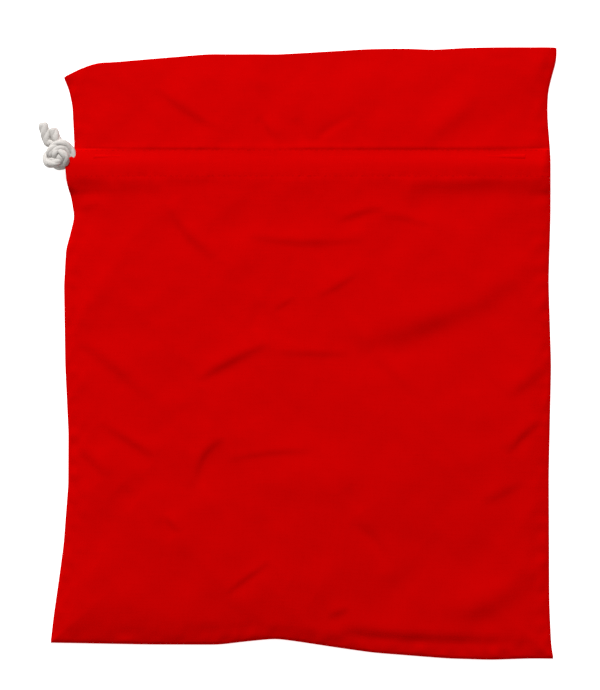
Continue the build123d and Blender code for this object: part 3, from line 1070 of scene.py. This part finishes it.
def twist_tree(name, strands):
    """Strands that wind round a path; the path stores how many turns it has made so far."""
    tree, given = geometry_tree(name, ["Width", "Height", "Thread", "Material"])
    path = tree.add("GeometryNodeMeshToCurve", {}, {"Mesh": given["Geometry"]})
    up = stored(tree, "up", "FLOAT_VECTOR")
    swell = stored(tree, "swell")
    along = tree.add("GeometryNodeInputTangent")
    side = vector_sum(tree, "CROSS_PRODUCT", {0: up, 1: along})
    circle = {"Resolution": 8, "Radius": given["Thread"]}
    profile = tree.add("GeometryNodeCurvePrimitiveCircle", {}, circle)
    tubes = []
    for number in range(strands):
        angle = (stored(tree, "turns") + number / strands) * TAU
        sideways = angle.apply("COSINE") * given["Width"] * swell
        upwards = angle.apply("SINE") * given["Height"] * swell
        first = vector_sum(tree, "SCALE", {0: side, "Scale": sideways})
        second = vector_sum(tree, "SCALE", {0: up, "Scale": upwards})
        offset = vector_sum(tree, "ADD", {0: first, 1: second})
        strand = tree.add("GeometryNodeSetPosition", {}, {"Geometry": path, "Offset": offset})
        form = {"Curve": strand, "Profile Curve": profile, "Scale": swell, "Fill Caps": True}
        tubes.append(tree.add("GeometryNodeCurveToMesh", {}, form))
    joined = tree.add("GeometryNodeJoinGeometry", {}, {0: tubes})
    return end_tree(tree, joined, given["Material"])


STITCH_ROW = stitch_tree()
OVERLOCK = twist_tree("overlock", 1)
PLIED = twist_tree("plied_cord", 3)


def path_mesh(name, paths):
    """A chain of edges for each path, with what the trees read stored at its points."""
    mesh = bpy.data.meshes.new(name)
    points = np.concatenate([path["points"] for path in paths])
    edges, first = [], 0
    for path in paths:
        count = len(path["points"])
        edges += [(first + i, first + i + 1) for i in range(count - 1)]
        first += count
    mesh.from_pydata((points * MM).tolist(), edges, [])
    up = mesh.attributes.new("up", "FLOAT_VECTOR", "POINT")
    up.data.foreach_set("vector", np.concatenate([path["up"] for path in paths]).ravel())
    for label in ("turns", "swell"):
        if label in paths[0]:
            values = np.concatenate([path[label] for path in paths])
            mesh.attributes.new(label, "FLOAT", "POINT").data.foreach_set("value", values)
    return mesh


def grow(name, paths, group, **sizes):
    """Runs a tree along the paths and keeps its result as a plain mesh object."""
    guide = placed(name, path_mesh(name + "_path", paths))
    modifier = guide.modifiers.new("grow", "NODES")
    modifier.node_group = group
    for item in group.interface.items_tree:
        if item.in_out == "INPUT" and item.name in sizes:
            modifier[item.identifier] = sizes[item.name]
    mesh = finished_mesh(guide)
    bpy.data.objects.remove(guide)
    mesh.name = name
    print(f"{name}: {len(mesh.polygons)} faces")
    return placed(name, mesh)


# %% [markdown]
# ## Stitching
# A lockstitch shows as a row of short dashes on both faces of the seam. The two rows of the casing
# go through the panel and its hem. The side and bottom seams are sewn inside and don't show from
# outside. Where the cord comes out, a short bar of dense stitches keeps the seam from tearing.

# %% Stitch rows
THREAD_WIDTH = extent("front_casing_upper_thread", Z) / 1000
STITCH = dict(
    Pitch=0.0026, Length=0.0022, Width=THREAD_WIDTH, Height=0.8 * THREAD_WIDTH,
    Material=SEWING_THREAD,
)
ROW_MARGIN = 1.6
SUNK, BACK_SUNK = -0.11, -0.2
ROWS = {"upper": FLAT_UPPER, "lower": FLAT_LOWER}


def row_path(grid, row, columns, level=SUNK):
    """A path along one row of a cloth grid, sunk a little into its face."""
    points, normals = grid[0][row, columns], grid[1][row, columns]
    return {"points": points + normals * level, "up": normals}


def row_at(stations, flat_row, first=0):
    """The number of the grid row nearest to a row of stitches."""
    return first + int(np.argmin(np.abs(stations - flat_row)))


front_threads = {}
sewn_halves = halves(np.flatnonzero(np.abs(COLUMNS) * HALF_WIDTH <= HALF_WIDTH - ROW_MARGIN))
for row_name, flat_row in ROWS.items():
    hem_row = row_at(hem_stations, flat_row, hem_first)
    for side in SIDES:
        outside = row_path(FRONT, row_at(STATIONS, flat_row), sewn_halves[side])
        inside = row_path(FRONT, hem_row, hem_halves[side])
        front_threads[row_name, side] = grow(
            f"front_casing_{row_name}_stitches_{side}", [outside, inside], STITCH_ROW, **STITCH
        )
back_threads = {}
back_hem_first = len(back_stations) + FOLD_STEPS
for row_name, flat_row in ROWS.items():
    outside = row_path(BACK, row_at(back_stations, flat_row), slice(3, -3), BACK_SUNK)
    inside = row_path(BACK, row_at(hem_stations, flat_row, back_hem_first), back_span)
    back_threads[row_name] = grow(
        f"back_casing_{row_name}_stitches", [outside, inside], STITCH_ROW, **STITCH
    )

# %% [markdown]
# ## Overlocked edges
# The raw edges of the allowances are overlocked: a thread loops over the edge again and again so
# that the weave can't fray. One winding strand per edge shows that well enough. The stitches of
# the seam itself run beside the fold.

# %% Overlock and seam threads
OVERLOCK_PITCH = 2.4
OVERLOCK_STEP = OVERLOCK_PITCH / 10
SEAM_LINE_INSET = 2.1


def beside(name, along, distance, z):
    """A path at a distance from a laid edge."""
    if name == "bottom":
        points = [along, bottom_edge(along) + distance]
    elif name == "left":
        points = [left_edge(along) + distance, along]
    else:
        points = [right_edge(along) - distance, along]
    points = np.column_stack(points + [np.full_like(along, z)])
    return {"points": points, "up": np.tile([0.0, 0.0, 1.0], (len(along), 1))}


overlocks, seams = {}, {}
for name, along in (("left", side_along), ("right", side_along), ("bottom", bottom_along)):
    fine = np.arange(along[0] + 1, along[-1] - 1, OVERLOCK_STEP)
    middle_z = ALLOWANCE_LEVEL + ALLOWANCE_THICKNESS / 2 + 0.1
    path = beside(name, fine, ALLOWANCE_INSET + ALLOWANCE_WIDTH - 1.0, middle_z)
    path["turns"] = (fine - fine[0]) / OVERLOCK_PITCH
    path["swell"] = np.ones_like(fine)
    overlocks[name] = grow(
        f"{name}_overlock_loops", [path], OVERLOCK,
        Width=0.0015, Height=0.00052, Thread=0.0002, Material=OVERLOCK_THREAD,
    )
    seam_z = ALLOWANCE_LEVEL + ALLOWANCE_THICKNESS + 0.08
    seam_path = beside(name, along, SEAM_LINE_INSET, seam_z)
    seams[name] = grow(f"{name}_seam_stitches", [seam_path], STITCH_ROW, **STITCH)

# %% [markdown]
# ## The drawcord
# One soft cord runs through the back casing, turns at the right seam, and comes back through the
# front casing. Both ends leave the sack at the left and are tied together in one overhand knot. The
# cord is three plies twisted together. A path for each end is drawn through a few points and
# softened; the knot itself is the usual formula of a trefoil, which is what an overhand knot is.

# %% Cord paths, in millimetres
PATH_STEP = 0.35
PLY_TURN = 13.0
KNOT = Vector((middle("drawcord_knot", X) + 0.2, middle("drawcord_knot", Y) - 1.4, 5.6))
KNOT_RING, KNOT_WAVE, KNOT_RISE, KNOT_TURN = 2.85, 1.5, 2.6, np.radians(75)
PAIR_APART = 1.2
RUN_END, TURN_START = -112.5, middle("drawcord_turn", X) - 8.5


def soft_path(points, blur):
    """An evenly spaced smooth path through points in space."""
    points = np.array(points, float)
    lengths = np.concatenate([[0], np.cumsum(np.linalg.norm(np.diff(points, axis=0), axis=1))])
    even = np.linspace(0, lengths[-1], int(lengths[-1] / PATH_STEP))
    lines = [np.interp(even, lengths, column) for column in points.T]
    return np.column_stack([softened(line, even[1], blur) for line in lines])


def path_frame(points):
    """A direction across the path that never spins, at each point."""
    along = np.gradient(points, axis=0)
    along /= np.linalg.norm(along, axis=1)[:, None]
    across = np.cross(along[0], [0.0, 0.0, 1.0])
    if np.linalg.norm(across) < 0.1:
        across = np.cross(along[0], [1.0, 0.0, 0.0])
    frames = []
    for direction in along:
        across = across - direction * np.dot(across, direction)
        across /= np.linalg.norm(across)
        frames.append(across)
    return np.array(frames), along


def trefoil():
    """The middle of the doubled cord through the knot."""
    angle = np.linspace(0.16, TAU - 0.22, 64)
    ring = KNOT_RING + KNOT_WAVE * np.cos(3 * angle)
    turned = KNOT_TURN + 2 * angle
    return np.column_stack([
        KNOT.x + ring * np.cos(turned),
        KNOT.y + ring * np.sin(turned),
        KNOT.z + KNOT_RISE * np.sin(3 * angle),
    ])


into_knot = [(-117.6, 98.0, 3.8), (-119.4, 101.2, 5.0), (-121.2, 103.4, 6.2), (-123.6, 103.8, 7.2)]
out_of_knot = [(-124.6, 104.2, 4.0), (-127.0, 106.4, 3.2)]
pair = soft_path(np.concatenate([into_knot, trefoil(), out_of_knot]), blur=0.8)
across, along = path_frame(pair)
upright = np.cross(along, across)
lean = np.linspace(0.0, 1.3 * np.pi, len(pair))[:, None]
beside_pair = PAIR_APART * (np.cos(lean) * across + np.sin(lean) * upright)
back_way = [(RUN_END, BACK_CORD_Y, BACK_CORD_Z), (-114.5, BACK_CORD_Y, 3.1)]
front_way = [(RUN_END, FRONT_CORD_Y, FRONT_CORD_Z), (-114.5, FRONT_CORD_Y + 0.7, 4.3)]
long_way = [(-130.2, 105.0, 3.6), (-131.0, 109.4, 3.2), (-132.7, 115.2, 3.0)]
short_way = [(-125.7, 106.4, 3.8), (-126.4, 109.2, 3.3), (-128.0, 112.4, 3.1)]
print(f"doubled cord through the knot: {len(pair) * PATH_STEP:.0f} mm")


def strand(way_in, sign, way_out):
    """One end of the cord: out of the casing, through the knot, to its tip."""
    inner = (pair + sign * beside_pair)[3:-3:3]
    return soft_path(np.concatenate([way_in, inner, way_out]), blur=0.9)


ends = {
    "long": strand(back_way, -1, long_way),
    "short": strand(front_way, 1, short_way),
}
RUN_STEP = 1.2
run_x = np.arange(RUN_END, TURN_START, RUN_STEP)


def run(y, z, seed):
    """A straight run of cord inside the casing, from left to right."""
    drift = 0.05 * gentle_noise(run_x, np.zeros_like(run_x), 60, seed)
    drift = drift * smooth(run_x - RUN_END, 0, 10) * smooth(TURN_START - run_x, 0, 10)
    return np.column_stack([run_x, y + drift, np.full_like(run_x, z)])


back_run, front_run = run(BACK_CORD_Y, BACK_CORD_Z, 31), run(FRONT_CORD_Y, FRONT_CORD_Z, 37)
half_turn = np.linspace(0, np.pi, 24)[:, None]
turn_middle = (back_run[-1] + front_run[-1]) / 2
turn_arm = (back_run[-1] - front_run[-1]) / 2
turn_out = np.array([np.linalg.norm(turn_arm), 0, 0])
cord_turn = turn_middle + turn_arm * np.cos(half_turn) + turn_out * np.sin(half_turn)

# %% [markdown]
# ## Twisting the plies
# Each stretch of cord is its own piece, because the runs slide while the turn stays at the seam.
# The number of turns is counted from the start of each stretch. At the two tips the plies come
# apart a little and round off, as cut cotton does.

# %% Cord pieces
CORD_SIZES = dict(Width=0.00048, Height=0.00048, Thread=0.00142, Material=NATURAL_CORD)
RUN_SWELL, KNOT_SWELL, TIP_SWELL = 1.03, 1.08, 1.42
TIP_ROUND = 1.7


def cord_path(points, swell):
    """What the plied tree needs along a stretch of cord."""
    across, _ = path_frame(points)
    steps = np.linalg.norm(np.diff(points, axis=0, prepend=points[:1]), axis=1)
    return {"points": points, "up": across, "turns": np.cumsum(steps) / PLY_TURN, "swell": swell}


def tail_swell(points):
    """A tail thickens towards its tip and rounds off there."""
    left = np.linalg.norm(points - points[-1], axis=1)
    thick = KNOT_SWELL + (TIP_SWELL - KNOT_SWELL) * (1 - smooth(left, 5, 12))
    from_tip = np.clip(left, 0.05, TIP_ROUND) / TIP_ROUND
    return thick * np.sqrt(np.clip(1 - (1 - from_tip) ** 2, 0.02, 1))


def split_at(points, tail_length):
    """Where a tail begins, counted back from its tip."""
    left = np.cumsum(np.linalg.norm(np.diff(points[::-1], axis=0), axis=1))
    return len(points) - 2 - int(np.searchsorted(left, tail_length))


tail_lengths = {"long": 13.0, "short": 9.5}
cut_at = {name: split_at(ends[name], tail_lengths[name]) for name in ends}
knot_paths = []
for name, points in ends.items():
    body = points[: cut_at[name] + 1]
    swell = RUN_SWELL + (KNOT_SWELL - RUN_SWELL) * smooth(np.arange(len(body)) * PATH_STEP, 2, 9)
    knot_paths.append(cord_path(body, swell))
knot = grow("overhand_knot", knot_paths, PLIED, **CORD_SIZES)
tails = {}
for name, points in ends.items():
    tail = points[cut_at[name] :]
    tail_path = cord_path(tail, tail_swell(tail))
    tails[name] = grow(f"{name}_tail_plies", [tail_path], PLIED, **CORD_SIZES)


def plain_cord(name, points):
    """A stretch of cord that is equally thick all along."""
    path = cord_path(points, np.full(len(points), RUN_SWELL))
    return grow(name, [path], PLIED, **CORD_SIZES)


middle_of_run = int(np.argmin(np.abs(front_run[:, 0])))
cord_back = plain_cord("cord_back_run", back_run)
cord_front = {
    "left": plain_cord("cord_front_run_left", front_run[: middle_of_run + 1]),
    "right": plain_cord("cord_front_run_right", front_run[middle_of_run:]),
}
cord_end = plain_cord("cord_turn", cord_turn)

# %% [markdown]
# ## The bar of stitches at the cord's exit
# A short dense zigzag crosses the end of the side seam just below the opening, where the cord pulls
# hardest. It is one thread wound flat over the seam.

# %% Exit bar
bar_low, bar_high = (corner.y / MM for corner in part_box("exit_backtack"))
BAR_STEP, BAR_INSET, BAR_PITCH = 0.06, 3.2, 0.55
bar_along = np.arange(bar_low, bar_high, BAR_STEP)
bar = beside("left", bar_along, BAR_INSET, BACK_INNER + 0.1)
bar["turns"] = (bar_along - bar_along[0]) / BAR_PITCH
bar["swell"] = np.ones_like(bar_along)
exit_bar = grow(
    "exit_bar_stitches", [bar], OVERLOCK,
    Width=0.0012, Height=0.0002, Thread=0.00018, Material=SEWING_THREAD,
)

# %% [markdown]
# ## Which body carries what
# The back, the allowances and the cord's turn stay with the sack. The front halves and the cord's
# front run only have their places baked into their meshes and are put on no body.


def carry(piece, slot, *nodes, body="sack"):
    """Rides a piece on a body and hides the imported parts that it stands for; slot is not used."""
    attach(piece, body)
    if nodes:
        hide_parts(*nodes)


def bend(pieces, first, second, slot, *nodes):
    """Bakes each piece's place into its mesh and hides the imported parts it stands for; first,
    second and slot are not used.
    """
    for side, piece in pieces.items():
        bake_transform(piece)
    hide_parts(*nodes)


bend(front_cloth, "sack", "front_panel", "red_cotton", "front_panel")
bend(front_hem, "sack", "front_panel", "red_cotton", "front_hem")
for row_name in ROWS:
    pieces = {side: front_threads[row_name, side] for side in SIDES}
    bend(pieces, "sack", "front_panel", "sewing_thread", f"front_casing_{row_name}_thread")
    carry(back_threads[row_name], "sewing_thread", f"back_casing_{row_name}_thread")
carry(back_cloth, "red_cotton", "back_panel")
carry(back_hem, "red_cotton", "back_hem")
for name in ("left", "right", "bottom"):
    carry(allowances[name], "red_cotton", f"{name}_seam_allowance")
    carry(overlocks[name], "overlock_thread", f"{name}_overlock_thread")
    carry(seams[name], "sewing_thread", f"{name}_seam_thread")
carry(exit_bar, "sewing_thread", "exit_backtack")
carry(cord_end, "natural_cord", "drawcord_turn")
carry(cord_back, "natural_cord", "drawcord_back_run", body="drawcord")
carry(knot, "natural_cord", "drawcord_knot", body="drawcord")
carry(tails["long"], "natural_cord", "drawcord_long_tail", body="drawcord")
carry(tails["short"], "natural_cord", "drawcord_short_tail", body="drawcord")
bend(cord_front, "drawcord", "front_strand", "natural_cord", "drawcord_front_run")

HALF_FLAT, HALF_HEM = HALF_WIDTH * MM, HEM_SPAN * (HALF_WIDTH * MM)
2 * HALF_FLAT
2 * HALF_HEM

# %% [markdown]
# ## The table
# A plain pale board. It glows a little, as a backdrop that is lit on its own does, so that it stays
# white and only the faintest shadow of the sack shows.

# %% Floor
FLOOR_HALF, FLOOR_LEVEL = 3.0, -0.00002
FLOOR_GLOW = 0.75
floor_mesh = bpy.data.meshes.new("floor")
corners = [(-1, -1), (1, -1), (1, 1), (-1, 1)]
places = [(FLOOR_HALF * x, FLOOR_HALF * y, FLOOR_LEVEL) for x, y in corners]
floor_mesh.from_pydata(places, [], [(0, 1, 2, 3)])
floor = placed("floor", floor_mesh)
floor_material, _, floor_shader = new_material("floor", 1.0)
floor_shader.inputs["Base Color"].default_value = (0.9, 0.9, 0.9, 1.0)
floor_shader.inputs["Emission Color"].default_value = (1.0, 1.0, 1.0, 1.0)
floor_shader.inputs["Emission Strength"].default_value = FLOOR_GLOW
floor_mesh.materials.append(floor_material)
